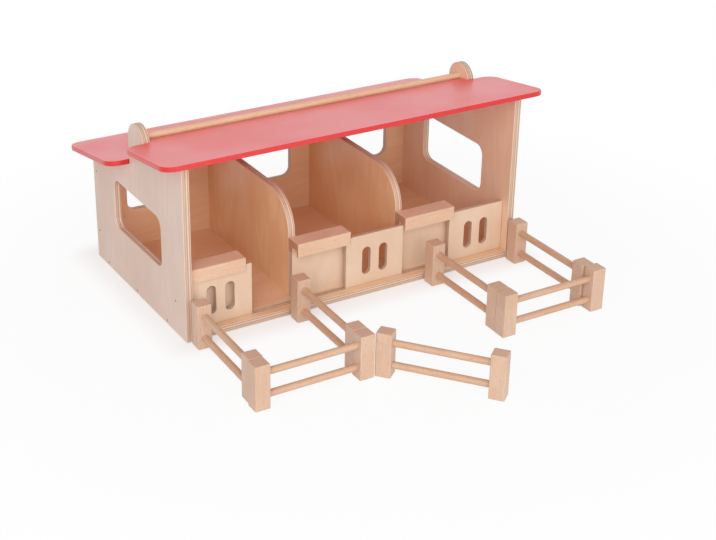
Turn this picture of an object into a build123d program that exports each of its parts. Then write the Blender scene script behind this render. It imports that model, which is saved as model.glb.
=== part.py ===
"""Toy stable barn of birch plywood: three bays with sliding half-height doors, two red roof
panels, a carrying dowel between two rounded ears, and seven loose sections of post-and-rail fence.

Frame: millimetres, +Z up, the front faces -Y. The origin is the middle of the barn's underside.
"""

from build123d import *
from math import cos, radians, sin, tan
import os

os.makedirs("parts", exist_ok=True)

# ---------------------------------------------------------------- driving dimensions
# Carcase of birch plywood
barn_width = 500.0           # over the outer faces of the two side walls
barn_depth = 282.0           # front edge to back edge of the side walls
wall_thickness = 10.0
bay_count = 3
floor_thickness = 10.0
floor_setback = 0.5          # floor edge behind the front edges of the side walls
back_panel_thickness = 10.0
back_panel_inset = 5.0       # back panel in front of the back edges of the side walls
divider_thickness = 10.0
divider_height = 146.8       # top edge above the ground
divider_corner_radius = 52.0
wall_foot_radius = 3.0       # rounded back foot of the side walls
wall_head_radius = 7.0       # rounded top front corner of the side walls
edge_easing = 0.6            # sanded edges of the plywood
window_edge_radius = 1.8     # rounded edges of the windows

# Roof
front_wall_height = 238.3    # underside of the front roof at the front edges of the walls
back_wall_height = 161.7     # underside of the back roof at the back edges of the walls
front_roof_pitch = 8.6       # degrees, rising towards the front
back_roof_pitch = 10.0       # degrees, rising towards the front
roof_thickness = 6.5
roof_side_overhang = 28.0
front_roof_overhang = 17.5
back_roof_overhang = 17.0
roof_corner_radius = 18.0
roof_edge_radius = 0.8
roof_end_gap = 0.5           # between a roof panel and the ears
roof_dowel_gap = 4.5         # between the front roof and the carrying dowel

# Ears and carrying dowel
ear_front = 109.5            # behind the front edges of the walls
ear_width = 46.5
ear_stub = 0.5               # straight part of the ears above the underside of the front roof
dowel_diameter = 9.0
dowel_drop = 18.5            # middle of the dowel below the top of the ears
dowel_seat_depth = 6.0
glue_clearance = 0.05        # radial, round every glued dowel

# Windows
side_window_front = 68.0     # behind the front edges of the walls
side_window_length = 145.0
side_window_sill = 73.0
side_window_height = 69.0
side_window_radius = 14.0
back_window_margin = 30.5    # to the bay's sides
back_window_sill = 64.0
back_window_height = 70.0
back_window_radius = 12.0

# Front panels, cap rails and sliding doors
groove_front = 11.5          # behind the front edges of the walls
groove_width = 8.0
groove_depth = 5.0
panel_front = 24.0
panel_thickness = 10.0
panel_height = 65.0          # above the floor
cap_length = 79.0
cap_height = 18.3
cap_lip_thickness = 3.2
cap_top_thickness = 9.8
cap_edge_radius = 1.2
door_width = 88.5
door_thickness = 6.0
door_front_play = 1.0        # between the door and the front of its groove
door_lip_play = 0.5          # between the door and the lip of the cap rail
door_floor_play = 0.3        # between the door and the bottom of its groove
door_cap_play = 1.5          # between the door and the cap rail over it
door_end_play = 0.3          # between a door and what stops it
door_edge_radius = 0.8
door_slot_length = 40.0
door_slot_width = 13.0
door_slot_gap = 13.0         # wood left between the two slots

# Fence sections
fence_length = 161.0
post_width = 20.0            # along the section
post_depth = 19.0            # across the section
post_height = 60.0
post_edge_radius = 1.2
rail_diameter = 9.0
rail_seat_depth = 9.0
top_rail_height = 45.0
bottom_rail_height = 15.0

# Where the fence sections stand
pen_gap = 4.0                # between the barn's front and the sections that run up to it
section_gap = 0.9            # between the ends of those sections and the ones across them
left_pen_left = -1.0         # left end of the left pen, right of the barn's left side
left_pen_outer_inset = 2.0   # outer section from the left end of the section across it
left_pen_skew = 1.5          # degrees, both sections that run up to the barn, out of square
right_pen_left = 351.0       # left end of the right pen, right of the barn's left side
right_pen_inner_inset = 0.5  # inner section from the left end of the section across it
right_pen_outer_inset = 4.5  # outer section from the right end of the section across it
gate_gap = 1.5               # between the left pen and the gate
gate_setback = 2.5           # near corner of the gate behind the front of the left pen
gate_turn = -51.0            # degrees from the line of the barn's front

# Pins that hold the carcase together
pin_diameter = 1.6
pin_head_diameter = 2.8
pin_head_depth = 0.6
pin_length = 24.0
pin_clearance = 0.05
low_back_pin_height = 42.0
high_back_pin_height = 130.0
divider_pin_drop = 20.0      # upper pin below the top of the divider
floor_pin_front = 57.0       # behind the front edges of the walls
floor_pin_middle = 150.0     # behind the front edges of the walls
floor_pin_back = 22.0        # in front of the back panel
front_panel_pin_height = 46.0
divider_pin_inset = 30.0     # from both ends of the divider's foot
cap_pin_inset = 20.0         # from both ends of a front panel
front_roof_pin_inset = 18.0  # from the front edges of the walls and from the ears
back_roof_pin_front = 43.0   # behind the ears
back_roof_pin_back = 27.0    # in front of the back edges of the walls

# ---------------------------------------------------------------- worked out from them
left_x = -barn_width / 2
right_x = barn_width / 2
front_y = -barn_depth / 2
back_y = barn_depth / 2
inner_left_x = left_x + wall_thickness
inner_right_x = right_x - wall_thickness
inner_width = inner_right_x - inner_left_x
bay_pitch = (inner_width + divider_thickness) / bay_count
bay_width = bay_pitch - divider_thickness
bay_left = [inner_left_x + bay_pitch * index for index in range(bay_count)]

back_panel_front_y = back_y - back_panel_inset - back_panel_thickness
back_panel_back_y = back_y - back_panel_inset

groove_front_y = front_y + groove_front
door_front_y = groove_front_y + door_front_play
panel_front_y = front_y + panel_front
panel_back_y = panel_front_y + panel_thickness
lip_back_y = door_front_y - door_lip_play
lip_front_y = lip_back_y - cap_lip_thickness
cap_bottom_z = floor_thickness + panel_height
cap_top_z = cap_bottom_z + cap_height
cap_slot_z = cap_top_z - cap_top_thickness
door_bottom_z = floor_thickness - groove_depth + door_floor_play
door_top_z = cap_slot_z - door_cap_play

# The left edge of each bay's cap rail: the side wall, then the left faces of the dividers
cap_left = [inner_left_x] + [left - divider_thickness for left in bay_left[1:]]
# The line that the right edge of each closed door reaches
door_stop = [cap_left[1], cap_left[2], inner_right_x]

ear_front_y = front_y + ear_front
ear_back_y = ear_front_y + ear_width
ear_middle_y = (ear_front_y + ear_back_y) / 2

front_slope = tan(radians(front_roof_pitch))
back_slope = tan(radians(back_roof_pitch))


def under_front_roof(y):
    """Height of the front roof's underside at a depth y."""
    return front_wall_height - (y - front_y) * front_slope


def under_back_roof(y):
    """Height of the back roof's underside at a depth y."""
    return back_wall_height + (back_y - y) * back_slope


# The round tops of the ears start just above the front roof's underside
ear_shoulder_z = under_front_roof(ear_front_y) + ear_stub
ear_height = ear_shoulder_z + ear_width / 2
dowel_z = ear_height - dowel_drop


def ease_openings(faces, radius):
    """Round the rims of the openings in these faces of the part that is being built."""
    rims = []
    for face in faces:
        for wire in face.inner_wires():
            rims += wire.edges()
    fillet(rims, radius)


def finish(part, label):
    """Name one finished piece and write it."""
    part.label = label
    export_step(part, f"parts/{label}.step")


# ---------------------------------------------------------------- pins
def pin_plane(point, inward):
    """A plane on the surface a pin is driven into, looking out of the wood."""
    outward = Vector(*inward) * -1
    across = (1, 0, 0) if abs(outward.X) < 0.5 else (0, 1, 0)
    return Plane(origin=point, x_dir=across, z_dir=outward)


floor_middle_z = floor_thickness / 2
back_panel_middle_y = (back_panel_front_y + back_panel_back_y) / 2
panel_middle_y = (panel_front_y + panel_back_y) / 2
floor_pin_depths = [
    front_y + floor_pin_front,
    front_y + floor_pin_middle,
    back_panel_front_y - floor_pin_back,
]
divider_pin_depths = [panel_back_y + divider_pin_inset, back_panel_front_y - divider_pin_inset]
divider_middle_x = [left - divider_thickness / 2 for left in bay_left[1:]]
front_roof_pin_depths = [front_y + front_roof_pin_inset, ear_front_y - front_roof_pin_inset]
back_roof_pin_depths = [ear_back_y + back_roof_pin_front, back_y - back_roof_pin_back]

side_pins = []
for wall_x, inward_x in ((left_x, 1), (right_x, -1)):
    for pin_z in (low_back_pin_height, high_back_pin_height):
        side_pins.append(pin_plane((wall_x, back_panel_middle_y, pin_z), (inward_x, 0, 0)))
    for pin_y in floor_pin_depths:
        side_pins.append(pin_plane((wall_x, pin_y, floor_middle_z), (inward_x, 0, 0)))
side_pins.append(pin_plane((left_x, panel_middle_y, front_panel_pin_height), (1, 0, 0)))

back_pins = []
for pin_x in divider_middle_x:
    for pin_z in (low_back_pin_height, divider_height - divider_pin_drop):
        back_pins.append(pin_plane((pin_x, back_panel_back_y, pin_z), (0, -1, 0)))

floor_pins = []
for pin_x in divider_middle_x:
    for pin_y in divider_pin_depths:
        floor_pins.append(pin_plane((pin_x, pin_y, 0), (0, 0, 1)))
for cap_x in cap_left:
    for pin_x in (cap_x + cap_pin_inset, cap_x + cap_length - cap_pin_inset):
        floor_pins.append(pin_plane((pin_x, panel_middle_y, 0), (0, 0, 1)))

front_normal = (0, sin(radians(front_roof_pitch)), cos(radians(front_roof_pitch)))
back_normal = (0, sin(radians(back_roof_pitch)), cos(radians(back_roof_pitch)))
roof_pins = []
for pin_x in (left_x + wall_thickness / 2, right_x - wall_thickness / 2):
    for pin_y in front_roof_pin_depths:
        seat = Vector(pin_x, pin_y, under_front_roof(pin_y))
        top = seat + Vector(*front_normal) * roof_thickness
        roof_pins.append(Plane(origin=top, x_dir=(1, 0, 0), z_dir=front_normal))
    for pin_y in back_roof_pin_depths:
        seat = Vector(pin_x, pin_y, under_back_roof(pin_y))
        top = seat + Vector(*back_normal) * roof_thickness
        roof_pins.append(Plane(origin=top, x_dir=(1, 0, 0), z_dir=back_normal))


def drive(planes, clearance, mode):
    """Add pins, or the holes for them, to the part that is being built."""
    for plane in planes:
        with BuildSketch(plane) as shank:
            Circle(pin_diameter / 2 + clearance)
        extrude(shank.sketch, amount=-pin_length - clearance, mode=mode)
        with BuildSketch(plane) as head:
            Circle(pin_head_diameter / 2 + clearance)
        extrude(head.sketch, amount=-pin_head_depth - clearance, mode=mode)


def drill(planes):
    """Cut the holes of these pins out of the part that is being built."""
    drive(planes, pin_clearance, Mode.SUBTRACT)


# ---------------------------------------------------------------- carcase
side_window_middle = (
    front_y + side_window_front + side_window_length / 2,
    side_window_sill + side_window_height / 2,
)

for name, wall_x, seat_plane, seat_way in (
    ("left_side_wall", left_x, Plane.YZ.offset(inner_left_x), -1),
    ("right_side_wall", inner_right_x, Plane.YZ.offset(inner_right_x), 1),
):
    with BuildPart() as side_wall:
        with BuildSketch(Plane.YZ.offset(wall_x)):
            with BuildLine():
                outline = Polyline(
                    (ear_front_y, ear_shoulder_z),
                    (ear_front_y, under_front_roof(ear_front_y)),
                    (front_y, front_wall_height),
                    (front_y, 0),
                    (back_y, 0),
                    (back_y, back_wall_height),
                    (ear_back_y, under_back_roof(ear_back_y)),
                    (ear_back_y, ear_shoulder_z),
                )
                ThreePointArc(outline @ 1, (ear_middle_y, ear_height), outline @ 0)
            make_face()
            with Locations(side_window_middle):
                RectangleRounded(
                    side_window_length, side_window_height, side_window_radius, mode=Mode.SUBTRACT
                )
        extrude(amount=wall_thickness)
        foot = side_wall.edges().filter_by(Axis.X).group_by(Axis.Z)[0].sort_by(Axis.Y)[-1]
        fillet(foot, wall_foot_radius)
        head = side_wall.edges().filter_by(Axis.X).group_by(Axis.Y)[0].sort_by(Axis.Z)[-1]
        fillet(head, wall_head_radius)
        ease_openings(side_wall.faces().filter_by(Axis.X), window_edge_radius)
        rims = [face.outer_wire() for face in side_wall.faces().filter_by(Axis.X)]
        fillet([edge for rim in rims for edge in rim.edges()], edge_easing)
        with BuildSketch(seat_plane):
            with Locations((ear_middle_y, dowel_z)):
                Circle(dowel_diameter / 2 + glue_clearance)
        extrude(amount=seat_way * dowel_seat_depth, mode=Mode.SUBTRACT)
        drill(side_pins + roof_pins)
    finish(side_wall.part, name)

with BuildPart() as floor_panel:
    with BuildSketch():
        with Locations((inner_left_x, front_y + floor_setback)):
            Rectangle(
                inner_width,
                back_panel_front_y - front_y - floor_setback,
                align=(Align.MIN, Align.MIN),
            )
    extrude(amount=floor_thickness)
    with BuildSketch(Plane.XY.offset(floor_thickness)):
        with Locations((inner_left_x, groove_front_y)):
            Rectangle(inner_width, groove_width, align=(Align.MIN, Align.MIN))
    extrude(amount=-groove_depth, mode=Mode.SUBTRACT)
    fillet(floor_panel.edges().filter_by(Axis.X).group_by(Axis.Y)[0], edge_easing)
    drill(side_pins + floor_pins)
finish(floor_panel.part, "floor_panel")

with BuildPart() as back_panel:
    with BuildSketch(Plane.YZ.offset(inner_left_x)):
        with BuildLine():
            Polyline(
                (back_panel_front_y, 0),
                (back_panel_back_y, 0),
                (back_panel_back_y, under_back_roof(back_panel_back_y)),
                (back_panel_front_y, under_back_roof(back_panel_front_y)),
                close=True,
            )
        make_face()
    extrude(amount=inner_width)
    with BuildSketch(Plane.XZ.offset(-back_panel_back_y)):
        for left in bay_left:
            with Locations((left + bay_width / 2, back_window_sill + back_window_height / 2)):
                RectangleRounded(
                    bay_width - 2 * back_window_margin, back_window_height, back_window_radius
                )
    extrude(amount=back_panel_thickness, mode=Mode.SUBTRACT)
    ease_openings(back_panel.faces().filter_by(Axis.Y), window_edge_radius)
    drill(side_pins + back_pins)
finish(back_panel.part, "back_panel")

for name, left in zip(("left_divider", "right_divider"), bay_left[1:]):
    with BuildPart() as divider:
        with BuildSketch(Plane.YZ.offset(left - divider_thickness)):
            with Locations((panel_back_y, floor_thickness)):
                Rectangle(
                    back_panel_front_y - panel_back_y,
                    divider_height - floor_thickness,
                    align=(Align.MIN, Align.MIN),
                )
        extrude(amount=divider_thickness)
        shoulder = divider.edges().filter_by(Axis.X).group_by(Axis.Z)[-1].sort_by(Axis.Y)[0]
        fillet(shoulder, divider_corner_radius)
        sides = divider.faces().filter_by(Axis.X).edges()
        seated = divider.edges().group_by(Axis.Z)[0] + divider.edges().group_by(Axis.Y)[-1]
        fillet([edge for edge in sides if edge not in seated], edge_easing)
        drill(back_pins + floor_pins)
    finish(divider.part, name)

# ---------------------------------------------------------------- front panels and cap rails
bay_names = ("left", "middle", "right")

for bay_name, cap_x in zip(bay_names, cap_left):
    with BuildPart() as front_panel:
        with BuildSketch(Plane.XY.offset(floor_thickness)):
            with Locations((cap_x, panel_front_y)):
                Rectangle(cap_length, panel_thickness, align=(Align.MIN, Align.MIN))
        extrude(amount=panel_height)
        fillet(front_panel.edges().filter_by(Axis.Z), edge_easing)
        drill(side_pins + floor_pins)
    finish(front_panel.part, f"{bay_name}_front_panel")

    with BuildPart() as cap_rail:
        with BuildSketch(Plane.YZ.offset(cap_x)):
            with BuildLine():
                Polyline(
                    (lip_front_y, cap_bottom_z),
                    (lip_back_y, cap_bottom_z),
                    (lip_back_y, cap_slot_z),
                    (panel_front_y, cap_slot_z),
                    (panel_front_y, cap_bottom_z),
                    (panel_back_y, cap_bottom_z),
                    (panel_back_y, cap_top_z),
                    (lip_front_y, cap_top_z),
                    close=True,
                )
            make_face()
        extrude(amount=cap_length)
        top_edges = cap_rail.edges().group_by(Axis.Z)[-1]
        front_corners = cap_rail.edges().filter_by(Axis.Z).group_by(Axis.Y)[0]
        fillet(top_edges + front_corners, cap_edge_radius)
    finish(cap_rail.part, f"{bay_name}_cap_rail")

# ---------------------------------------------------------------- sliding doors
door_height = door_top_z - door_bottom_z
door_middle_z = (door_top_z + door_bottom_z) / 2
# The left door stands open against the side wall, and the other two stand closed
door_left = [
    inner_left_x + door_end_play,
    door_stop[1] - door_end_play - door_width,
    door_stop[2] - door_end_play - door_width,
]

for bay_name, door_x in zip(bay_names, door_left):
    with BuildPart() as door:
        with BuildSketch(Plane.XZ.offset(-door_front_y)):
            with Locations((door_x + door_width / 2, door_middle_z)):
                Rectangle(door_width, door_height)
                with GridLocations(door_slot_width + door_slot_gap, 0, 2, 1):
                    SlotOverall(
                        door_slot_length, door_slot_width, rotation=90, mode=Mode.SUBTRACT
                    )
        extrude(amount=-door_thickness)
        ease_openings(door.faces().filter_by(Axis.Y), edge_easing)
        outer = door.edges().filter_by(Axis.Z).group_by(Axis.X)
        top_edges = door.edges().group_by(Axis.Z)[-1]
        fillet(outer[0] + outer[-1] + top_edges, door_edge_radius)
    finish(door.part, f"{bay_name}_sliding_door")

# ---------------------------------------------------------------- roofs and carrying dowel
roof_width = barn_width + 2 * roof_side_overhang
front_roof_start = front_y - front_roof_overhang
front_roof_end = ear_front_y - roof_end_gap - roof_thickness * sin(radians(front_roof_pitch))
back_roof_start = ear_back_y + roof_end_gap
back_roof_end = back_y + back_roof_overhang
# Between the ears the front roof reaches on towards the dowel
tongue_width = inner_width - 2 * roof_end_gap
tongue_reach = ear_width / 2 - dowel_diameter / 2 - roof_dowel_gap + roof_end_gap

for name, start_y, end_y, start_z, pitch, normal, reach in (
    (
        "front_roof",
        front_roof_start,
        front_roof_end,
        under_front_roof(front_roof_start),
        front_roof_pitch,
        front_normal,
        tongue_reach,
    ),
    (
        "back_roof",
        back_roof_start,
        back_roof_end,
        under_back_roof(back_roof_start),
        back_roof_pitch,
        back_normal,
        0.0,
    ),
):
    with BuildPart() as roof:
        roof_plane = Plane(origin=(0, start_y, start_z), x_dir=(1, 0, 0), z_dir=normal)
        roof_length = (end_y - start_y) / cos(radians(pitch))
        with BuildSketch(roof_plane):
            with Locations((0, roof_length / 2)):
                RectangleRounded(roof_width, roof_length, roof_corner_radius)
                Rectangle(
                    tongue_width,
                    roof_length / 2 + reach / cos(radians(pitch)),
                    align=(Align.CENTER, Align.MIN),
                )
        extrude(amount=roof_thickness)
        faces = roof.faces().sort_by(Axis(origin=(0, 0, 0), direction=normal))
        fillet(faces[-1].edges() + faces[0].edges(), roof_edge_radius)
        drill(roof_pins)
    finish(roof.part, name)

with BuildPart() as carrying_dowel:
    with BuildSketch(Plane.YZ.offset(inner_left_x - dowel_seat_depth)):
        with Locations((ear_middle_y, dowel_z)):
            Circle(dowel_diameter / 2)
    extrude(amount=inner_width + 2 * dowel_seat_depth)
finish(carrying_dowel.part, "carrying_dowel")

# ---------------------------------------------------------------- pins, grouped by what they hold
for name, planes in (
    ("side_wall_pins", side_pins),
    ("back_panel_pins", back_pins),
    ("floor_pins", floor_pins),
    ("roof_pins", roof_pins),
):
    with BuildPart() as pins:
        drive(planes, 0, Mode.ADD)
    finish(pins.part, name)

# ---------------------------------------------------------------- loose fence sections
pen_start_y = front_y - pen_gap
pen_cross_y = pen_start_y - fence_length - section_gap - post_depth
left_pen_x = left_x + left_pen_left
# The skewed sections meet the front one at their far ends, so their near ends lie further right
skew_shift = fence_length * sin(radians(left_pen_skew))
left_pen_outer_x = left_pen_x + left_pen_outer_inset + skew_shift
left_pen_inner_x = left_pen_x + fence_length - post_depth + skew_shift
gate_x = left_pen_x + fence_length + gate_gap
gate_y = pen_cross_y + gate_setback
right_pen_x = left_x + right_pen_left
right_pen_outer_x = right_pen_x + fence_length - right_pen_outer_inset - post_depth

# name, near corner in x and y, turn about the vertical
fence_sections = (
    ("left_pen_outer_fence", left_pen_outer_x, pen_start_y, -90.0 - left_pen_skew),
    ("left_pen_front_fence", left_pen_x, pen_cross_y, 0.0),
    ("left_pen_inner_fence", left_pen_inner_x, pen_start_y, -90.0 - left_pen_skew),
    ("gate_fence", gate_x, gate_y, gate_turn),
    ("right_pen_inner_fence", right_pen_x + right_pen_inner_inset, pen_start_y, -90.0),
    ("right_pen_front_fence", right_pen_x, pen_cross_y, 0.0),
    ("right_pen_outer_fence", right_pen_outer_x, pen_start_y, -90.0),
)

rail_span = fence_length - 2 * post_width
rail_length = rail_span + 2 * rail_seat_depth

for section, corner_x, corner_y, turn in fence_sections:
    along = (cos(radians(turn)), sin(radians(turn)), 0)
    across = (-sin(radians(turn)), cos(radians(turn)), 0)
    base = Plane(origin=(corner_x, corner_y, 0), x_dir=along, z_dir=(0, 0, 1))

    for post_name, start, seat_at, way in (
        ("near_post", 0.0, post_width, -1),
        ("far_post", fence_length - post_width, fence_length - post_width, 1),
    ):
        with BuildPart() as post:
            with BuildSketch(base):
                with Locations((start, 0)):
                    Rectangle(post_width, post_depth, align=(Align.MIN, Align.MIN))
            extrude(amount=post_height)
            fillet(post.edges(), post_edge_radius)
            seat_origin = base.from_local_coords((seat_at, post_depth / 2, 0))
            with BuildSketch(Plane(origin=seat_origin, x_dir=across, z_dir=along)):
                with Locations((0, top_rail_height), (0, bottom_rail_height)):
                    Circle(rail_diameter / 2 + glue_clearance)
            extrude(amount=way * rail_seat_depth, mode=Mode.SUBTRACT)
        finish(post.part, f"{section}_{post_name}")

    for rail_name, rail_z in (("top_rail", top_rail_height), ("bottom_rail", bottom_rail_height)):
        rail_origin = base.from_local_coords(
            (post_width - rail_seat_depth, post_depth / 2, rail_z)
        )
        with BuildPart() as rail:
            with BuildSketch(Plane(origin=rail_origin, x_dir=across, z_dir=along)):
                Circle(rail_diameter / 2)
            extrude(amount=rail_length)
        finish(rail.part, f"{section}_{rail_name}")
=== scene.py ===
"""Finishes, floor, light and camera for a toy stable barn and its loose fence sections.

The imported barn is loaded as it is. Each sheet of plywood, beech bar, dowel, painted roof and steel
pin gets a procedural finish, and a plain pale studio is set round it. The file is laid out as an
add-on: the sizes and colours a user would change are properties, and one operator does each job.
Lengths are in metres, as in the frame.
"""

from math import cos, radians, sin

import bpy
from mathutils import Matrix, Vector


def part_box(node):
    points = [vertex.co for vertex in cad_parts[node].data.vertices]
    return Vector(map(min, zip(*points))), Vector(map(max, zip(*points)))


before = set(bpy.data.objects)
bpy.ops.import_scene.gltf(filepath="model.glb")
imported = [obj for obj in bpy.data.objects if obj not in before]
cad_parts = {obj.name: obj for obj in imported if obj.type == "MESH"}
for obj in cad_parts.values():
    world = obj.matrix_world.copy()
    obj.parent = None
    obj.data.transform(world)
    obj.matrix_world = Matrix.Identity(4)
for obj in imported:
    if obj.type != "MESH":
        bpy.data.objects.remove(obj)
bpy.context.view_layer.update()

bl_info = {
    "name": "Toy stable barn finishes",
    "version": (1, 0, 0),
    "blender": (4, 5, 0),
    "location": "3D View > Sidebar > Barn",
    "description": "Wood, paint and steel finishes, studio and camera for the toy stable barn",
    "category": "Object",
}

# The gate's turn from the line of the barn's front, and the rise of the roofs, in degrees
GATE_TURN = 51.0
FRONT_ROOF_PITCH = 8.6
BACK_ROOF_PITCH = 10.0

# Where the wood of each piece runs: the turn, in degrees, that lays its grain along X
GRAIN_ALONG_X = (0.0, 0.0, 0.0)
GRAIN_ALONG_Y = (0.0, 0.0, -90.0)
GRAIN_ALONG_Z = (0.0, 90.0, 0.0)
GRAIN_ALONG_GATE = (0.0, 0.0, GATE_TURN)

# The directions that the sheets face and that the bars run in
X_AXIS = (1.0, 0.0, 0.0)
Y_AXIS = (0.0, 1.0, 0.0)
Z_AXIS = (0.0, 0.0, 1.0)
GATE_AXIS = (cos(radians(GATE_TURN)), -sin(radians(GATE_TURN)), 0.0)
AXES = (X_AXIS, Y_AXIS, Z_AXIS)
THIN_IN_X, THIN_IN_Y, THIN_IN_Z = range(3)

# How many plies the barn's thick sheets and its doors have, and how thick one is in the roofs
PANEL_PLIES = 7
DOOR_PLIES = 5
ROOF_PLY = 0.0013

# How each finish shows its wood. Bands, streaks, flecks, rings and drift are shares of the deeper
# colour, relief is how deep the grain cuts into the bump, and bump is the bump's strength
PLYWOOD = {
    "bands": 0.36,
    "streaks": 0.2,
    "flecks": 0.16,
    "drift": 0.5,
    "roughness": 0.47,
    "rougher_edge": 0.14,
    "relief": -0.18,
    "bump": 0.35,
}
BEECH = {
    "bands": 0.35,
    "streaks": 0.3,
    "flecks": 0.4,
    "rings": 0.5,
    "drift": 0.45,
    "roughness": 0.46,
    "relief": -0.2,
    "bump": 0.3,
}
PAINT = {
    "bands": 0.16,
    "streaks": 0.16,
    "drift": 0.15,
    "roughness": 0.36,
    "edge_relief": 0.4,
    "relief": -0.2,
    "bump": 0.25,
}
BUMP_DEPTH = 0.0003

# Radians of light and dark bands that the wood's slow noise is cut into
BAND_TURNS = 38.0

# On a plywood edge: how far the plies differ in tone, how much is left of the faintest joint, how
# strongly the pores darken a ply's end grain, and how deep they are beside a joint
PLY_TONE_SPREAD = 0.4
FAINTEST_JOINT = 0.12
PORE_SHARE = 0.3
PORE_RELIEF = -0.4

# The floor lies this far below the barn, so that the two never share a plane
FLOOR_DROP = 0.0004
FLOOR_SIDES = 128
FLOOR_COOL = (0.955, 0.955, 0.96, 1.0)
FLOOR_WARM = (0.965, 0.965, 0.965, 1.0)

# The floor turns plain white from one distance to the next, round the middle of barn and pens, and keeps
# more of its shadow close to the barn, where it is also greyer as painted shade
FADE_MIDDLE = (0.0, -0.17, 0.0)
FADE_START = 0.36
FADE_END = 0.8
WHITE_AT_START = 0.9
PAINTED_SHADE_WIDTH = 0.05
WHITE_AT_BARN = 0.55

PLAIN_WHITE = (1.0, 1.0, 1.0, 1.0)
LIGHTS_AIM = Vector((0.0, -0.05, 0.08))
SENSOR_WIDTH = 36.0
NEAREST_SEEN = 0.05
FURTHEST_SEEN = 60.0

FENCE_SECTIONS_ACROSS = ("left_pen_front_fence", "right_pen_front_fence")
FENCE_SECTIONS_FORWARD = (
    "left_pen_outer_fence",
    "left_pen_inner_fence",
    "right_pen_inner_fence",
    "right_pen_outer_fence",
)
GATE_SECTION = "gate_fence"
FENCE_SECTIONS = FENCE_SECTIONS_ACROSS + FENCE_SECTIONS_FORWARD + (GATE_SECTION,)
BAYS = ("left", "middle", "right")


# ---------------------------------------------------------------- small helpers
def display(red, green, blue):
    """A colour as it looks on a screen, 0 to 255, turned into the linear values shaders use."""
    linear = []
    for channel in (red, green, blue):
        share = channel / 255
        linear.append(share / 12.92 if share <= 0.04045 else ((share + 0.055) / 1.055) ** 2.4)
    return (*linear, 1.0)


def node(tree, kind, inputs=None, **settings):
    """Add a node, set its plain settings, and give its inputs values or link them to outputs."""
    made = tree.nodes.new(kind)
    for name, value in settings.items():
        setattr(made, name, value)
    for key, value in (inputs or {}).items():
        if isinstance(value, bpy.types.NodeSocket):
            tree.links.new(value, made.inputs[key])
        else:
            made.inputs[key].default_value = value
    return made


def math_node(tree, operation, *values):
    """A Math node's result."""
    return node(tree, "ShaderNodeMath", dict(enumerate(values)), operation=operation).outputs[0]


def blend(tree, share, first, second, blend_type="MIX"):
    """A Mix node for colours; returns the mixed colour."""
    made = node(tree, "ShaderNodeMix", data_type="RGBA", blend_type=blend_type)
    for socket, value in (("Factor_Float", share), ("A_Color", first), ("B_Color", second)):
        wanted = next(entry for entry in made.inputs if entry.identifier == socket)
        if isinstance(value, bpy.types.NodeSocket):
            tree.links.new(value, wanted)
        else:
            wanted.default_value = value
    return next(entry for entry in made.outputs if entry.identifier == "Result_Color")


def ramp(tree, value, low, high, to_low=0.0, to_high=1.0):
    """A value taken smoothly from one range to another."""
    made = node(
        tree,
        "ShaderNodeMapRange",
        {"Value": value, "From Min": low, "From Max": high, "To Min": to_low, "To Max": to_high},
        interpolation_type="SMOOTHSTEP",
    )
    return made.outputs["Result"]


def new_group(name, inputs, outputs):
    """An empty shader node group with named sockets; returns it with its two end nodes."""
    group = bpy.data.node_groups.new(name, "ShaderNodeTree")
    for socket_name, kind, default in inputs:
        socket = group.interface.new_socket(socket_name, in_out="INPUT", socket_type=kind)
        socket.default_value = default
    for socket_name, kind in outputs:
        group.interface.new_socket(socket_name, in_out="OUTPUT", socket_type=kind)
    return group, group.nodes.new("NodeGroupInput").outputs, group.nodes.new("NodeGroupOutput")


# ---------------------------------------------------------------- shared effects
def make_wood_figure_group(name):
    """Bands, streaks and flecks of wood that run along the X of the coordinates given."""
    group, given, out = new_group(
        name,
        (
            ("Vector", "NodeSocketVector", (0.0, 0.0, 0.0)),
            ("Band Scale", "NodeSocketFloat", 28.0),
            ("Band Stretch", "NodeSocketFloat", 7.0),
            ("Streak Scale", "NodeSocketFloat", 620.0),
            ("Streak Stretch", "NodeSocketFloat", 30.0),
            ("Fleck Scale", "NodeSocketFloat", 1100.0),
            ("Fleck Stretch", "NodeSocketFloat", 7.0),
        ),
        (
            ("Bands", "NodeSocketFloat"),
            ("Streaks", "NodeSocketFloat"),
            ("Flecks", "NodeSocketFloat"),
        ),
    )

    def drawn_out(stretch):
        """The coordinates drawn out along the grain."""
        squeeze = math_node(group, "DIVIDE", 1.0, stretch)
        by = node(group, "ShaderNodeCombineXYZ", {"X": squeeze, "Y": 1.0, "Z": 1.0}).outputs[0]
        return node(
            group, "ShaderNodeVectorMath", {0: given["Vector"], 1: by}, operation="MULTIPLY"
        ).outputs[0]

    broad = node(
        group,
        "ShaderNodeTexNoise",
        {
            "Vector": drawn_out(given["Band Stretch"]),
            "Scale": given["Band Scale"],
            "Detail": 2.0,
            "Roughness": 0.45,
            "Distortion": 0.7,
        },
    ).outputs["Fac"]
    waves = math_node(group, "SINE", math_node(group, "MULTIPLY", broad, BAND_TURNS))
    # The sine's -1 to 1 becomes 0 to 1
    group.links.new(math_node(group, "MULTIPLY_ADD", waves, 0.5, 0.5), out.inputs["Bands"])
    streaks = node(
        group,
        "ShaderNodeTexNoise",
        {
            "Vector": drawn_out(given["Streak Stretch"]),
            "Scale": given["Streak Scale"],
            "Detail": 4.0,
            "Roughness": 0.6,
        },
    ).outputs["Fac"]
    group.links.new(ramp(group, streaks, low=0.3, high=0.7), out.inputs["Streaks"])
    flecks = node(
        group,
        "ShaderNodeTexNoise",
        {
            "Vector": drawn_out(given["Fleck Stretch"]),
            "Scale": given["Fleck Scale"],
            "Detail": 1.0,
            "Roughness": 0.5,
        },
    ).outputs["Fac"]
    group.links.new(ramp(group, flecks, low=0.58, high=0.7), out.inputs["Flecks"])
    return group


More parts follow.
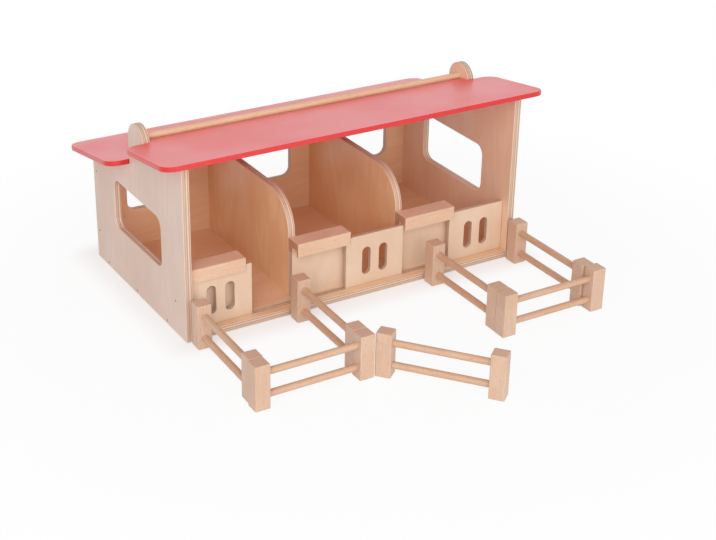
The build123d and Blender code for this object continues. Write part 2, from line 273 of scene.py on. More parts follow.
def make_facing_group(name):
    """How far a surface faces along an axis, 1 on the sheet's faces, and which of them it is."""
    group, given, out = new_group(
        name,
        (("Axis", "NodeSocketVector", (0.0, 0.0, 1.0)),),
        (("Face", "NodeSocketFloat"), ("Far Side", "NodeSocketFloat")),
    )
    coordinates = node(group, "ShaderNodeTexCoord")
    along = node(
        group,
        "ShaderNodeVectorMath",
        {0: coordinates.outputs["Normal"], 1: given["Axis"]},
        operation="DOT_PRODUCT",
    ).outputs["Value"]
    either_way = math_node(group, "ABSOLUTE", along)
    group.links.new(ramp(group, either_way, low=0.62, high=0.8), out.inputs["Face"])
    group.links.new(ramp(group, along, low=-0.1, high=0.1), out.inputs["Far Side"])
    return group


def make_ply_edge_group(name):
    """Plies of a plywood edge: light long grain, darker end grain and thin glue lines."""
    group, given, out = new_group(
        name,
        (
            ("Position", "NodeSocketVector", (0.0, 0.0, 0.0)),
            ("Across", "NodeSocketVector", (1.0, 0.0, 0.0)),
            ("Start", "NodeSocketFloat", 0.0),
            ("Ply", "NodeSocketFloat", 0.0014),
            ("Unevenness", "NodeSocketFloat", 0.00022),
            ("Long Grain", "NodeSocketColor", (0.8, 0.6, 0.4, 1.0)),
            ("End Grain", "NodeSocketColor", (0.5, 0.3, 0.2, 1.0)),
            ("Glue Line", "NodeSocketColor", (0.3, 0.15, 0.08, 1.0)),
        ),
        (("Color", "NodeSocketColor"), ("Height", "NodeSocketFloat")),
    )
    depth = node(
        group,
        "ShaderNodeVectorMath",
        {0: given["Position"], 1: given["Across"]},
        operation="DOT_PRODUCT",
    ).outputs["Value"]
    wander = node(
        group, "ShaderNodeTexNoise", {"Vector": given["Position"], "Scale": 45.0, "Detail": 1.0}
    ).outputs["Fac"]
    wander = math_node(group, "SUBTRACT", wander, 0.5)
    wander = math_node(group, "MULTIPLY", wander, given["Unevenness"])
    depth = math_node(group, "ADD", math_node(group, "SUBTRACT", depth, given["Start"]), wander)
    plies = math_node(group, "DIVIDE", depth, given["Ply"])
    number = math_node(group, "FLOOR", plies)
    crossed = math_node(group, "ABSOLUTE", math_node(group, "MODULO", number, 2.0))
    within = math_node(group, "SUBTRACT", plies, number)
    to_joint = math_node(group, "MINIMUM", within, math_node(group, "SUBTRACT", 1.0, within))
    glue = ramp(group, to_joint, low=0.05, high=0.26, to_low=1.0, to_high=0.0)
    pores = node(
        group, "ShaderNodeTexNoise", {"Vector": given["Position"], "Scale": 1900.0, "Detail": 2.0}
    ).outputs["Fac"]
    pores = ramp(group, pores, low=0.35, high=0.65)
    # Each ply has a tone of its own, and only some joints show as a dark line
    tone = node(
        group, "ShaderNodeTexWhiteNoise", {"W": number}, noise_dimensions="1D"
    ).outputs["Value"]
    colour = blend(group, crossed, given["Long Grain"], given["End Grain"])
    shade = math_node(group, "MULTIPLY", tone, PLY_TONE_SPREAD)
    shown = ramp(group, tone, low=0.3, high=0.65, to_low=FAINTEST_JOINT)
    glue = math_node(group, "MULTIPLY", glue, shown)
    colour = blend(group, shade, colour, given["End Grain"])
    end_pores = math_node(group, "MULTIPLY", crossed, pores)
    speckle = math_node(group, "MULTIPLY", end_pores, PORE_SHARE)
    colour = blend(group, speckle, colour, given["Glue Line"])
    colour = blend(group, glue, colour, given["Glue Line"])
    group.links.new(colour, out.inputs["Color"])
    sunk = math_node(group, "MULTIPLY", end_pores, PORE_RELIEF)
    group.links.new(math_node(group, "SUBTRACT", sunk, glue), out.inputs["Height"])
    return group


def make_board_tone_group(name):
    """Slow drifts of tone and sheen over a board."""
    group, given, out = new_group(
        name,
        (
            ("Vector", "NodeSocketVector", (0.0, 0.0, 0.0)),
            ("Color", "NodeSocketColor", (0.8, 0.6, 0.4, 1.0)),
            ("Deeper", "NodeSocketColor", (0.6, 0.4, 0.25, 1.0)),
            ("Amount", "NodeSocketFloat", 0.2),
            ("Roughness", "NodeSocketFloat", 0.5),
        ),
        (("Color", "NodeSocketColor"), ("Roughness", "NodeSocketFloat")),
    )
    slow = node(
        group,
        "ShaderNodeTexNoise",
        {"Vector": given["Vector"], "Scale": 11.0, "Detail": 2.0, "Roughness": 0.5},
    ).outputs["Fac"]
    slow = ramp(group, slow, low=0.32, high=0.68)
    share = math_node(group, "MULTIPLY", slow, given["Amount"])
    group.links.new(blend(group, share, given["Color"], given["Deeper"]), out.inputs["Color"])
    sheen_spread = 0.12
    sheen = math_node(group, "MULTIPLY", math_node(group, "SUBTRACT", slow, 0.5), sheen_spread)
    group.links.new(math_node(group, "ADD", given["Roughness"], sheen), out.inputs["Roughness"])
    return group


GROUP_MAKERS = {
    "Wood Figure": make_wood_figure_group,
    "Facing Along": make_facing_group,
    "Ply Edge": make_ply_edge_group,
    "Board Tone": make_board_tone_group,
}


def place_group(tree, name, inputs):
    """Place a shared group, built at its first use, with a material's own values."""
    group = bpy.data.node_groups.get(name) or GROUP_MAKERS[name](name)
    return node(tree, "ShaderNodeGroup", inputs, node_tree=group).outputs


# ---------------------------------------------------------------- materials
def new_material(name):
    """A material with a Principled shader; returns it, its tree and the shader."""
    material = bpy.data.materials.new(name)
    material.use_nodes = True
    tree = material.node_tree
    return material, tree, tree.nodes["Principled BSDF"]


def grain_coordinates(tree, turn, shift):
    """Object coordinates, as they are and with the grain turned along X and moved by a shift."""
    coordinates = node(tree, "ShaderNodeTexCoord").outputs["Object"]
    mapped = node(
        tree,
        "ShaderNodeMapping",
        {
            "Vector": coordinates,
            "Location": shift,
            "Rotation": tuple(radians(angle) for angle in turn),
        },
    ).outputs["Vector"]
    return coordinates, mapped


def varnish(shader, weight=0.25, roughness=0.35):
    """A thin clear coat over the wood."""
    shader.inputs["Coat Weight"].default_value = weight
    shader.inputs["Coat Roughness"].default_value = roughness


def grained(tree, figure, face, deep, look):
    """A face colour with the bands and streaks of its deeper grain."""
    wood = blend(tree, math_node(tree, "MULTIPLY", figure["Bands"], look["bands"]), face, deep)
    return blend(tree, math_node(tree, "MULTIPLY", figure["Streaks"], look["streaks"]), wood, deep)


def flecked(tree, figure, wood, fleck, look):
    """A wood's colour with its fine flecks or pores."""
    return blend(tree, math_node(tree, "MULTIPLY", figure["Flecks"], look["flecks"]), wood, fleck)


def drifting(tree, position, wood, deep, look):
    """The colour and roughness of a board whose tone and sheen drift slowly."""
    return place_group(
        tree,
        "Board Tone",
        {
            "Vector": position,
            "Color": wood,
            "Deeper": deep,
            "Amount": look["drift"],
            "Roughness": look["roughness"],
        },
    )


def face_or_edge(tree, facing, edge, face):
    """One value on a sheet's edges and another one on its faces."""
    inputs = {"Factor": facing, "A": edge, "B": face}
    return node(tree, "ShaderNodeMix", inputs, data_type="FLOAT").outputs[0]


def raise_surface(tree, shader, height, look):
    """Bump the surface of a finish by a height."""
    inputs = {"Height": height, "Strength": look["bump"], "Distance": BUMP_DEPTH}
    bump = node(tree, "ShaderNodeBump", inputs)
    tree.links.new(bump.outputs[0], shader.inputs["Normal"])


def plywood_material(name, veneers, turn, across, start, ply, shift, colours):
    """Birch plywood: calm face veneers with fine streaks, and plies on every edge.

    veneers holds the face and grain colours of the sheet's near side and those of its far side."""
    material, tree, shader = new_material(name)
    position, mapped = grain_coordinates(tree, turn, shift)
    figure = place_group(
        tree, "Wood Figure", {"Vector": mapped, "Band Scale": 17.0, "Band Stretch": 4.0}
    )
    sides = place_group(tree, "Facing Along", {"Axis": across})
    facing = sides["Face"]
    near, far = veneers
    face = blend(tree, sides["Far Side"], near[0], far[0])
    deep = blend(tree, sides["Far Side"], near[1], far[1])
    veneer = grained(tree, figure, face, deep, PLYWOOD)
    veneer = flecked(tree, figure, veneer, tuple(colours.pore), PLYWOOD)
    board = drifting(tree, position, veneer, deep, PLYWOOD)
    edge = place_group(
        tree,
        "Ply Edge",
        {
            "Position": position,
            "Across": across,
            "Start": start,
            "Ply": ply,
            "Long Grain": tuple(colours.ply_light),
            "End Grain": tuple(colours.ply_dark),
            "Glue Line": tuple(colours.glue_line),
        },
    )
    colour = blend(tree, facing, edge["Color"], board["Color"])
    tree.links.new(colour, shader.inputs["Base Color"])
    on_edge = math_node(tree, "SUBTRACT", 1.0, facing)
    rough = math_node(tree, "MULTIPLY_ADD", on_edge, PLYWOOD["rougher_edge"], board["Roughness"])
    tree.links.new(rough, shader.inputs["Roughness"])
    grain = math_node(tree, "MULTIPLY", figure["Streaks"], PLYWOOD["relief"])
    raise_surface(tree, shader, face_or_edge(tree, facing, edge["Height"], grain), PLYWOOD)
    varnish(shader)
    return material


def beech_material(name, wood, end, turn, grain_axis, shift, colours):
    """Solid beech: pinkish tan with fine dark flecks along the grain, and rings on its ends.

    wood holds the face and grain colours, and end is the colour of the end grain."""
    material, tree, shader = new_material(name)
    position, mapped = grain_coordinates(tree, turn, shift)
    figure = place_group(
        tree,
        "Wood Figure",
        {
            "Vector": mapped,
            "Band Scale": 75.0,
            "Band Stretch": 9.0,
            "Streak Scale": 900.0,
            "Streak Stretch": 22.0,
            "Fleck Scale": 780.0,
            "Fleck Stretch": 5.5,
        },
    )
    face, deep = wood
    fleck = tuple(colours.fleck)
    along = flecked(tree, figure, grained(tree, figure, face, deep, BEECH), fleck, BEECH)
    on_end = place_group(tree, "Facing Along", {"Axis": grain_axis})["Face"]
    rings = node(
        tree,
        "ShaderNodeTexWave",
        {"Vector": mapped, "Scale": 95.0, "Distortion": 3.0, "Detail": 2.0, "Detail Scale": 1.5},
        wave_type="BANDS",
        bands_direction="Y",
    ).outputs["Fac"]
    ringed = blend(tree, math_node(tree, "MULTIPLY", rings, BEECH["rings"]), end, fleck)
    board = drifting(tree, position, blend(tree, on_end, along, ringed), deep, BEECH)
    tree.links.new(board["Color"], shader.inputs["Base Color"])
    tree.links.new(board["Roughness"], shader.inputs["Roughness"])
    marks = math_node(tree, "ADD", figure["Streaks"], figure["Flecks"])
    raise_surface(tree, shader, math_node(tree, "MULTIPLY", marks, BEECH["relief"]), BEECH)
    varnish(shader)
    return material


def painted_roof_material(name, pitch, shift, colours):
    """Satin red paint on plywood: the veneer just shows through it, and the edges are deeper. The faces'
    paint is also lighter and pinker than the edges', partly as a painted sheen on top of the coat's own.
    """
    material, tree, shader = new_material(name)
    position, mapped = grain_coordinates(tree, GRAIN_ALONG_X, shift)
    figure = place_group(
        tree, "Wood Figure", {"Vector": mapped, "Band Scale": 22.0, "Streak Scale": 480.0}
    )
    normal = (0.0, sin(radians(pitch)), cos(radians(pitch)))
    facing = place_group(tree, "Facing Along", {"Axis": normal})["Face"]
    # The face paint is lighter and pinker than the edge paint, partly as painted sheen
    deep = tuple(colours.roof_deep_and_sheen)
    paint = grained(tree, figure, tuple(colours.roof_face_and_sheen), deep, PAINT)
    board = drifting(tree, position, paint, deep, PAINT)
    edge = place_group(
        tree,
        "Ply Edge",
        {
            "Position": position,
            "Across": normal,
            "Ply": ROOF_PLY,
            "Long Grain": tuple(colours.roof_edge),
            "End Grain": tuple(colours.roof_edge_dark),
            "Glue Line": tuple(colours.roof_edge_dark),
        },
    )
    colour = blend(tree, facing, edge["Color"], board["Color"])
    tree.links.new(colour, shader.inputs["Base Color"])
    tree.links.new(board["Roughness"], shader.inputs["Roughness"])
    grain = math_node(tree, "MULTIPLY", figure["Streaks"], PAINT["relief"])
    plies = math_node(tree, "MULTIPLY", edge["Height"], PAINT["edge_relief"])
    raise_surface(tree, shader, face_or_edge(tree, facing, plies, grain), PAINT)
    varnish(shader, weight=0.6, roughness=0.3)
    return material


def steel_material(name, colours):
    """Dull steel with darker, rougher spots."""
    material, tree, shader = new_material(name)
    position = node(tree, "ShaderNodeTexCoord").outputs["Object"]
    spots = node(
        tree, "ShaderNodeTexNoise", {"Vector": position, "Scale": 900.0, "Detail": 3.0}
    ).outputs["Fac"]
    spotted = ramp(tree, spots, low=0.4, high=0.65)
    colour = blend(tree, spotted, tuple(colours.steel), tuple(colours.steel_dark))
    tree.links.new(colour, shader.inputs["Base Color"])
    rough = ramp(tree, spots, low=0.3, high=0.7, to_low=0.35, to_high=0.6)
    tree.links.new(rough, shader.inputs["Roughness"])
    shader.inputs["Metallic"].default_value = 0.8
    return material


def finish_nodes(names, material):
    """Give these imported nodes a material."""
    for name in names:
        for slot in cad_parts[name].material_slots:
            slot.material = material


def finish_sheets(context, label, names, veneers, turn, thin_axis, ply, shift):
    """Give like sheets their plywood, with its plies counted from the first one's near side."""
    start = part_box(names[0])[0][thin_axis]
    colours = context.scene.barn_colours
    material = plywood_material(
        f"Birch Plywood {label}", veneers, turn, AXES[thin_axis], start, ply, shift, colours
    )
    finish_nodes(names, material)


# ---------------------------------------------------------------- what a user would change
def colour_property(name, description, red, green, blue):
    """A colour property whose default is given as it looks on a screen."""
    return bpy.props.FloatVectorProperty(
        name=name,
        description=description,
        subtype="COLOR",
        size=4,
        min=0.0,
        max=1.0,
        default=display(red, green, blue),
    )


class BarnColours(bpy.types.PropertyGroup):
    """Colours of the woods, the paint and the pins."""

    wall_face: colour_property("Wall veneer", "Outer veneer of the side walls", 222, 197, 182)
    wall_deep: colour_property("Wall veneer, deep", "Its darker grain", 212, 182, 164)
    # The inner veneer is lighter than the outer one as painted light for the dimmer inside of the barn
    wall_inner_face_and_painted_light: colour_property("Inner wall veneer", "Inner veneer of the side walls", 242, 211, 186)
    wall_inner_deep_and_painted_light: colour_property("Inner wall veneer, deep", "Its darker grain", 231, 189, 155)
    floor_face: colour_property("Floor veneer", "Veneer of the floor and the back", 238, 203, 168)
    floor_deep: colour_property("Floor veneer, deep", "Its darker grain", 226, 176, 132)
    inner_face: colour_property("Divider veneer", "Veneer of the dividers", 244, 206, 162)
    inner_deep: colour_property("Divider veneer, deep", "Its darker grain", 230, 172, 120)
    door_face: colour_property("Door veneer", "Veneer of doors and front panels", 228, 202, 178)
    door_deep: colour_property("Door veneer, deep", "Darker grain of doors and panels", 217, 184, 155)
    pore: colour_property("Pores", "Pores of the birch veneer", 190, 145, 108)
    ply_light: colour_property("Light plies", "Plies whose grain runs along the edge", 236, 210, 188)
    ply_dark: colour_property("Dark plies", "Plies that show their end grain", 218, 184, 158)
    glue_line: colour_property("Glue lines", "Joints between the plies", 112, 74, 50)
    cap_face: colour_property("Cap rails", "Beech of the cap rails", 230, 196, 168)
    cap_deep: colour_property("Cap rails, deep", "Its darker grain", 216, 172, 140)
    # The cap rails' ends are darker partly as end grain and partly as painted shade
    cap_end_and_shade: colour_property("Cap rails, ends", "Its end grain", 176, 128, 94)
    post_face: colour_property("Posts", "Beech of the fence posts", 214, 184, 160)
    post_deep: colour_property("Posts, deep", "Its darker grain", 202, 162, 134)
    post_end: colour_property("Posts, ends", "Its end grain", 218, 184, 160)
    fleck: colour_property("Flecks", "Fine flecks in the beech", 183, 128, 94)
    rail_face: colour_property("Fence rails", "Turned beech of the fence rails", 212, 176, 148)
    rail_deep: colour_property("Fence rails, deep", "Its darker grain", 198, 150, 117)
    dowel_face: colour_property("Carrying dowel", "Turned beech of the carrying dowel", 234, 197, 166)
    dowel_deep: colour_property("Carrying dowel, deep", "Its darker grain", 226, 178, 140)
    # The roof's face paint is partly painted sheen: lighter and pinker than the edge paint
    roof_face_and_sheen: colour_property("Roof paint", "Red paint on the faces of the roof", 247, 62, 68)
    roof_deep_and_sheen: colour_property("Roof paint, deep", "Red paint over the darker grain", 238, 50, 56)
    roof_edge: colour_property("Roof edge", "Red paint on the edges", 218, 15, 10)
    roof_edge_dark: colour_property("Roof edge, dark", "Paint in the joints of the plies", 204, 11, 9)
    steel: colour_property("Steel", "Heads of the pins", 120, 108, 100)
    steel_dark: colour_property("Steel, dark", "Spots on the pins", 82, 70, 64)


def thickness(name, axis):
    """How thick a sheet of the barn is, which is its size along the axis it is thin in."""
    lowest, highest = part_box(name)
    return highest[axis] - lowest[axis]


class BarnSheets(bpy.types.PropertyGroup):
    """Ply thicknesses."""

    panel_ply: bpy.props.FloatProperty(
        name="Panel ply",
        description="Thickness of one ply in the walls, panels and dividers",
        default=thickness("right_side_wall", THIN_IN_X) / PANEL_PLIES,
        unit="LENGTH",
    )
    door_ply: bpy.props.FloatProperty(
        name="Door ply",
        description="Thickness of one ply in the doors",
        default=thickness("left_sliding_door", THIN_IN_Y) / DOOR_PLIES,
        unit="LENGTH",
    )


def place_property(name, description, place):
    """A property that holds a place in the studio."""
    return bpy.props.FloatVectorProperty(
        name=name, description=description, default=place, subtype="TRANSLATION", unit="LENGTH"
    )


class BarnStudio(bpy.types.PropertyGroup):
    """Floor, light and camera."""

    floor_radius: bpy.props.FloatProperty(
        name="Floor radius", description="Radius of the floor", default=9.0, unit="LENGTH"
    )
    sky: bpy.props.FloatProperty(
        name="Sky", description="Strength of the even light from all round", default=0.5
    )
    key_power: bpy.props.FloatProperty(
        name="Key light", description="Power of the large soft light", default=76.0, unit="POWER"
    )
    key_size: bpy.props.FloatProperty(
        name="Key light size", description="Side of the large soft light", default=2.6, unit="LENGTH"
    )
    key_place: place_property(
        "Key light place", "Where the large soft light hangs", (-1.9, -2.7, 1.9)
    )
    front_power: bpy.props.FloatProperty(
        name="Front light", description="Power of the light in front", default=24.0, unit="POWER"
    )
    front_size: bpy.props.FloatProperty(
        name="Front light size", description="Side of the light in front", default=2.0, unit="LENGTH"
    )
    front_place: place_property(
        "Front light place", "Where the light in front hangs", (0.4, -3.4, 0.9)
    )
    camera_place: place_property(
        "Camera place", "Where the camera stands", (-0.9303, -1.6337, 0.9388)
    )
    lens: bpy.props.FloatProperty(
        name="Lens", description="Focal length", default=75.66, subtype="DISTANCE_CAMERA"
    )
    azimuth: bpy.props.FloatProperty(
        name="Azimuth",
        description="Camera's way round the barn",
        default=radians(-31.86),
        unit="ROTATION",
    )
    elevation: bpy.props.FloatProperty(
        name="Elevation",
        description="Camera's angle above the horizon",
        default=radians(25.757),
        unit="ROTATION",
    )
    roll: bpy.props.FloatProperty(
        name="Roll",
        description="Turn about the line of sight",
        default=radians(1.2275),
        unit="ROTATION",
    )
    shift_y: bpy.props.FloatProperty(
        name="Shift", description="Camera's shift for the photograph's framing", default=-0.04825
    )


# ---------------------------------------------------------------- operators
class BarnOperator:
    """What all the barn's operators share."""

    bl_options = {"REGISTER", "UNDO"}


class FinishSideWalls(BarnOperator, bpy.types.Operator):
    """Give the side walls their birch plywood"""

    bl_idname = "barn.finish_side_walls"
    bl_label = "Side walls"

    def execute(self, context):
        colours = context.scene.barn_colours
        ply = context.scene.barn_sheets.panel_ply
        outer = tuple(colours.wall_face), tuple(colours.wall_deep)
        inner = tuple(colours.wall_inner_face_and_painted_light), tuple(colours.wall_inner_deep_and_painted_light)
        # Each wall's inner side gets lighter veneer colours than its outer side: painted light for the
        # dimmer inside
        for side, veneers, shift in (
            ("left", (outer, inner), (0.3, 0.1, 0.7)),
            ("right", (inner, outer), (1.7, 0.4, 0.2)),
        ):
            label = f"{side.title()} Wall"
            names = [f"{side}_side_wall"]
            finish_sheets(context, label, names, veneers, GRAIN_ALONG_Z, THIN_IN_X, ply, shift)
        return {"FINISHED"}


class FinishInside(BarnOperator, bpy.types.Operator):
    """Give the floor panel, the back panel and the dividers their birch plywood"""

    bl_idname = "barn.finish_inside"
    bl_label = "Floor, back and dividers"

    def execute(self, context):
        colours = context.scene.barn_colours
        ply = context.scene.barn_sheets.panel_ply
        pale = tuple(colours.floor_face), tuple(colours.floor_deep)
        warm = tuple(colours.inner_face), tuple(colours.inner_deep)
        for name, veneer, turn, thin_axis, shift in (
            ("floor_panel", pale, GRAIN_ALONG_X, THIN_IN_Z, (0.9, 0.2, 0.5)),
            ("back_panel", pale, GRAIN_ALONG_X, THIN_IN_Y, (0.1, 1.3, 0.8)),
            ("left_divider", warm, GRAIN_ALONG_Z, THIN_IN_X, (0.6, 0.7, 1.4)),
            ("right_divider", warm, GRAIN_ALONG_Z, THIN_IN_X, (1.2, 2.1, 0.3)),
        ):
            label = name.replace("_", " ").title()
            finish_sheets(context, label, [name], (veneer, veneer), turn, thin_axis, ply, shift)
        return {"FINISHED"}


class FinishFrontPanels(BarnOperator, bpy.types.Operator):
    """Give the fixed front panels their birch plywood"""

    bl_idname = "barn.finish_front_panels"
    bl_label = "Front panels"

    def execute(self, context):
        colours = context.scene.barn_colours
        ply = context.scene.barn_sheets.panel_ply
        veneer = tuple(colours.door_face), tuple(colours.door_deep)
        names = [f"{bay}_front_panel" for bay in BAYS]
        shift = (0.4, 0.6, 0.2)
        finish_sheets(
            context, "Front Panels", names, (veneer, veneer), GRAIN_ALONG_Z, THIN_IN_Y, ply, shift
        )
        return {"FINISHED"}


class FinishDoors(BarnOperator, bpy.types.Operator):
    """Give the sliding doors their thin birch plywood"""

    bl_idname = "barn.finish_doors"
    bl_label = "Sliding doors"

    def execute(self, context):
        colours = context.scene.barn_colours
        ply = context.scene.barn_sheets.door_ply
        veneer = tuple(colours.door_face), tuple(colours.door_deep)
        names = [f"{bay}_sliding_door" for bay in BAYS]
        shift = (0.4, 1.9, 1.1)
        finish_sheets(
            context, "Doors", names, (veneer, veneer), GRAIN_ALONG_Z, THIN_IN_Y, ply, shift
        )
        return {"FINISHED"}


class FinishCapRails(BarnOperator, bpy.types.Operator):
    """Give the cap rails their beech"""

    bl_idname = "barn.finish_cap_rails"
    bl_label = "Cap rails"

    def execute(self, context):
        colours = context.scene.barn_colours
        wood = tuple(colours.cap_face), tuple(colours.cap_deep)
        # The darker colour of the ends is partly end grain and partly painted shade
        end = tuple(colours.cap_end_and_shade)
        shift = (0.5, 0.8, 0.1)
        material = beech_material(
            "Beech Cap Rails", wood, end, GRAIN_ALONG_X, X_AXIS, shift, colours
        )
        finish_nodes([f"{bay}_cap_rail" for bay in BAYS], material)
        return {"FINISHED"}


class FinishFencePosts(BarnOperator, bpy.types.Operator):
    """Give the fence posts their beech"""

    bl_idname = "barn.finish_fence_posts"
    bl_label = "Fence posts"

    def execute(self, context):
        colours = context.scene.barn_colours
        wood = tuple(colours.post_face), tuple(colours.post_deep)
        end = tuple(colours.post_end)
        shift = (1.5, 0.3, 0.6)
        material = beech_material(
            "Beech Fence Posts", wood, end, GRAIN_ALONG_Z, Z_AXIS, shift, colours
        )
        for place in ("near", "far"):
            finish_nodes([f"{section}_{place}_post" for section in FENCE_SECTIONS], material)
        return {"FINISHED"}


class FinishDowels(BarnOperator, bpy.types.Operator):
    """Give the fence rails and the carrying dowel their turned beech"""

    bl_idname = "barn.finish_dowels"
    bl_label = "Rails and carrying dowel"

    def execute(self, context):
        colours = context.scene.barn_colours
        rail = tuple(colours.rail_face), tuple(colours.rail_deep)
        dowel = tuple(colours.dowel_face), tuple(colours.dowel_deep)
        end = tuple(colours.post_end)
        shift = (0.2, 0.9, 0.4)
        across, forward, gate = (
            [f"{section}_{level}_rail" for section in sections for level in ("top", "bottom")]
            for sections in (FENCE_SECTIONS_ACROSS, FENCE_SECTIONS_FORWARD, (GATE_SECTION,))
        )
        for label, names, wood, turn, axis in (
            ("Rails Across", across, rail, GRAIN_ALONG_X, X_AXIS),
            ("Rails Forward", forward, rail, GRAIN_ALONG_Y, Y_AXIS),
            ("Rails Gate", gate, rail, GRAIN_ALONG_GATE, GATE_AXIS),
            ("Carrying Dowel", ["carrying_dowel"], dowel, GRAIN_ALONG_X, X_AXIS),
        ):
            material = beech_material(f"Beech {label}", wood, end, turn, axis, shift, colours)
            finish_nodes(names, material)
        return {"FINISHED"}


class FinishRoofs(BarnOperator, bpy.types.Operator):
    """Give the two roof panels and the pins in them their red paint"""

    bl_idname = "barn.finish_roofs"
    bl_label = "Roofs"

    def execute(self, context):
        colours = context.scene.barn_colours
        for name, pitch, shift in (
            ("front_roof", FRONT_ROOF_PITCH, (0.7, 0.2, 0.1)),
            ("back_roof", BACK_ROOF_PITCH, (1.9, 1.2, 0.4)),
        ):
            label = name.replace("_", " ").title()
            material = painted_roof_material(f"Red Paint {label}", pitch, shift, colours)
            finish_nodes([name], material)
        # The pins are painted over with the panels, and take the last one's paint
        finish_nodes(["roof_pins"], material)
        return {"FINISHED"}


class FinishPins(BarnOperator, bpy.types.Operator):
    """Give the panel pins their dull steel"""

    bl_idname = "barn.finish_pins"
    bl_label = "Panel pins"

    def execute(self, context):
        material = steel_material("Dull Steel Pins", context.scene.barn_colours)
        finish_nodes(["side_wall_pins", "back_panel_pins", "floor_pins"], material)
        return {"FINISHED"}


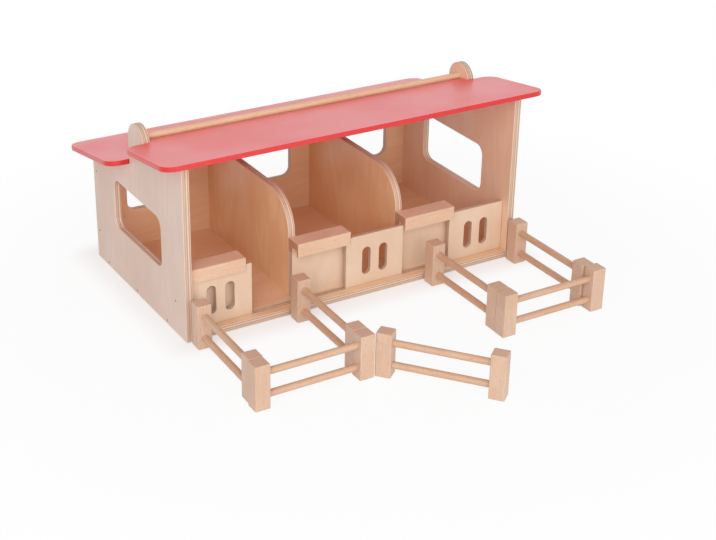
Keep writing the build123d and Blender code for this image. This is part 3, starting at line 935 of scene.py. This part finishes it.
class SetStage(BarnOperator, bpy.types.Operator):
    """Lay the pale floor, hang the lights and place the camera"""

    bl_idname = "barn.set_stage"
    bl_label = "Studio"

    def execute(self, context):
        studio = context.scene.barn_studio
        self.lay_floor(studio)
        self.light_sky(context, studio)
        self.hang_lights(studio)
        self.place_camera(context, studio)
        return {"FINISHED"}

    def lay_floor(self, studio):
        """A white floor that keeps the soft shadows, is painted greyer close to the barn, and turns plain
        white further out.
        """
        bpy.ops.object.select_all(action="DESELECT")
        bpy.ops.mesh.primitive_circle_add(
            vertices=FLOOR_SIDES,
            radius=studio.floor_radius,
            fill_type="NGON",
            location=(0.0, 0.0, -FLOOR_DROP),
        )
        floor = bpy.context.active_object
        bpy.ops.object.transform_apply(location=True, rotation=True, scale=True)
        floor.name = floor.data.name = "studio_floor"
        floor.data.materials.append(self.floor_material())

    def floor_material(self):
        """Near white that takes shadows, and plain white where the floor should end."""
        material, tree, shader = new_material("White Studio Floor")
        position = node(tree, "ShaderNodeTexCoord").outputs["Object"]
        mottle = node(
            tree, "ShaderNodeTexNoise", {"Vector": position, "Scale": 3.0, "Detail": 1.0}
        ).outputs["Fac"]
        colour = blend(tree, mottle, FLOOR_COOL, FLOOR_WARM)
        tree.links.new(colour, shader.inputs["Base Color"])
        shader.inputs["Roughness"].default_value = 0.9
        shader.inputs["Specular IOR Level"].default_value = 0.1
        plain = node(tree, "ShaderNodeEmission", {"Color": PLAIN_WHITE, "Strength": 1.0})
        ray = node(tree, "ShaderNodeLightPath").outputs
        seen = math_node(tree, "MAXIMUM", ray["Is Camera Ray"], ray["Is Glossy Ray"])
        share = math_node(tree, "MULTIPLY", self.plain_share(tree, position), seen)
        mixed = node(
            tree, "ShaderNodeMixShader", {0: share, 1: shader.outputs[0], 2: plain.outputs[0]}
        )
        tree.links.new(mixed.outputs[0], tree.nodes["Material Output"].inputs["Surface"])
        return material

    def plain_share(self, tree, position):
        """How far the floor is plain white at a point: least by the barn, all of it far out. Where less
        of it is plain white, the floor's own shading greys it, a painted shade near the barn even where
        no shadow falls.
        """

        def vectors(operation, *values):
            """A Vector Math node's outputs."""
            inputs = dict(enumerate(values))
            return node(tree, "ShaderNodeVectorMath", inputs, operation=operation).outputs

        centred = vectors("SUBTRACT", position, FADE_MIDDLE)["Vector"]
        away = vectors("LENGTH", centred)["Value"]
        # How far a point lies outside the barn's own rectangle, which is centred on the origin
        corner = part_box("right_side_wall")[1]
        folded = vectors("ABSOLUTE", position)["Vector"]
        outside = vectors("SUBTRACT", folded, (corner[0], corner[1], 1.0))["Vector"]
        outside = vectors("MAXIMUM", outside, (0.0, 0.0, 0.0))["Vector"]
        beside = vectors("LENGTH", outside)["Value"]
        far_out = ramp(tree, away, FADE_START, FADE_END, to_low=WHITE_AT_START)
        # Less plain white beside the barn: its real shadow shows, and the floor's own shading paints a
        # grey band round it
        by_barn = ramp(tree, beside, 0.0, PAINTED_SHADE_WIDTH, to_low=WHITE_AT_BARN)
        return math_node(tree, "MULTIPLY", far_out, by_barn)

    def light_sky(self, context, studio):
        """Even light from all round, itself seen as plain white."""
        world = bpy.data.worlds.new("Studio Sky")
        context.scene.world = world
        world.use_nodes = True
        tree = world.node_tree
        sky = tree.nodes["Background"]
        sky.inputs["Color"].default_value = PLAIN_WHITE
        sky.inputs["Strength"].default_value = studio.sky
        white = node(tree, "ShaderNodeBackground", {"Color": PLAIN_WHITE, "Strength": 1.0})
        ray = node(tree, "ShaderNodeLightPath").outputs
        seen = math_node(tree, "MAXIMUM", ray["Is Camera Ray"], ray["Is Glossy Ray"])
        seen = math_node(tree, "MAXIMUM", seen, ray["Is Transmission Ray"])
        mixed = node(tree, "ShaderNodeMixShader", {0: seen, 1: sky.outputs[0], 2: white.outputs[0]})
        tree.links.new(mixed.outputs[0], tree.nodes["World Output"].inputs["Surface"])

    def hang_lights(self, studio):
        """One large soft light above the front left, and a weaker one straight in front."""
        for name, power, size, place in (
            ("Key Light", studio.key_power, studio.key_size, studio.key_place),
            ("Front Light", studio.front_power, studio.front_size, studio.front_place),
        ):
            bpy.ops.object.light_add(type="AREA", location=place)
            lamp = bpy.context.active_object
            lamp.name = name
            lamp.data.energy = power
            lamp.data.size = size
            towards = LIGHTS_AIM - Vector(place)
            lamp.rotation_euler = towards.to_track_quat("-Z", "Y").to_euler()

    def place_camera(self, context, studio):
        """The photograph's viewpoint."""
        bpy.ops.object.camera_add(location=studio.camera_place)
        camera = bpy.context.active_object
        camera.name = "Photo Camera"
        camera.data.lens = studio.lens
        camera.data.sensor_width = SENSOR_WIDTH
        camera.data.shift_y = studio.shift_y
        camera.data.clip_start = NEAREST_SEEN
        camera.data.clip_end = FURTHEST_SEEN
        round_barn = Matrix.Rotation(studio.azimuth, 3, "Z")
        raised = Matrix.Rotation(radians(90.0) - studio.elevation, 3, "X")
        rolled = Matrix.Rotation(studio.roll, 3, "Z")
        camera.rotation_euler = (round_barn @ raised @ rolled).to_euler()
        context.scene.camera = camera
        context.scene.view_settings.view_transform = "Standard"


class BARN_PT_finishes(bpy.types.Panel):
    """The barn's finishes and studio"""

    bl_label = "Barn"
    bl_category = "Barn"
    bl_space_type = "VIEW_3D"
    bl_region_type = "UI"

    def draw(self, context):
        for operator in OPERATORS:
            self.layout.operator(operator.bl_idname)
        scene = context.scene
        for settings in (scene.barn_colours, scene.barn_sheets, scene.barn_studio):
            box = self.layout.box()
            for name in settings.bl_rna.properties.keys():
                if name not in ("rna_type", "name"):
                    box.prop(settings, name)


OPERATORS = (
    FinishSideWalls,
    FinishInside,
    FinishFrontPanels,
    FinishDoors,
    FinishCapRails,
    FinishFencePosts,
    FinishDowels,
    FinishRoofs,
    FinishPins,
    SetStage,
)
CLASSES = (BarnColours, BarnSheets, BarnStudio) + OPERATORS + (BARN_PT_finishes,)


def register():
    """Make the barn's properties, operators and panel known."""
    for each in CLASSES:
        bpy.utils.register_class(each)
    bpy.types.Scene.barn_colours = bpy.props.PointerProperty(type=BarnColours)
    bpy.types.Scene.barn_sheets = bpy.props.PointerProperty(type=BarnSheets)
    bpy.types.Scene.barn_studio = bpy.props.PointerProperty(type=BarnStudio)


def unregister():
    """Take them away again."""
    del bpy.types.Scene.barn_studio
    del bpy.types.Scene.barn_sheets
    del bpy.types.Scene.barn_colours
    for each in reversed(CLASSES):
        bpy.utils.unregister_class(each)


def main():
    """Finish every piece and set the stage."""
    register()
    bpy.ops.barn.finish_side_walls()
    bpy.ops.barn.finish_inside()
    bpy.ops.barn.finish_front_panels()
    bpy.ops.barn.finish_doors()
    bpy.ops.barn.finish_cap_rails()
    bpy.ops.barn.finish_fence_posts()
    bpy.ops.barn.finish_dowels()
    bpy.ops.barn.finish_roofs()
    bpy.ops.barn.finish_pins()
    bpy.ops.barn.set_stage()


if __name__ == "__main__":
    main()
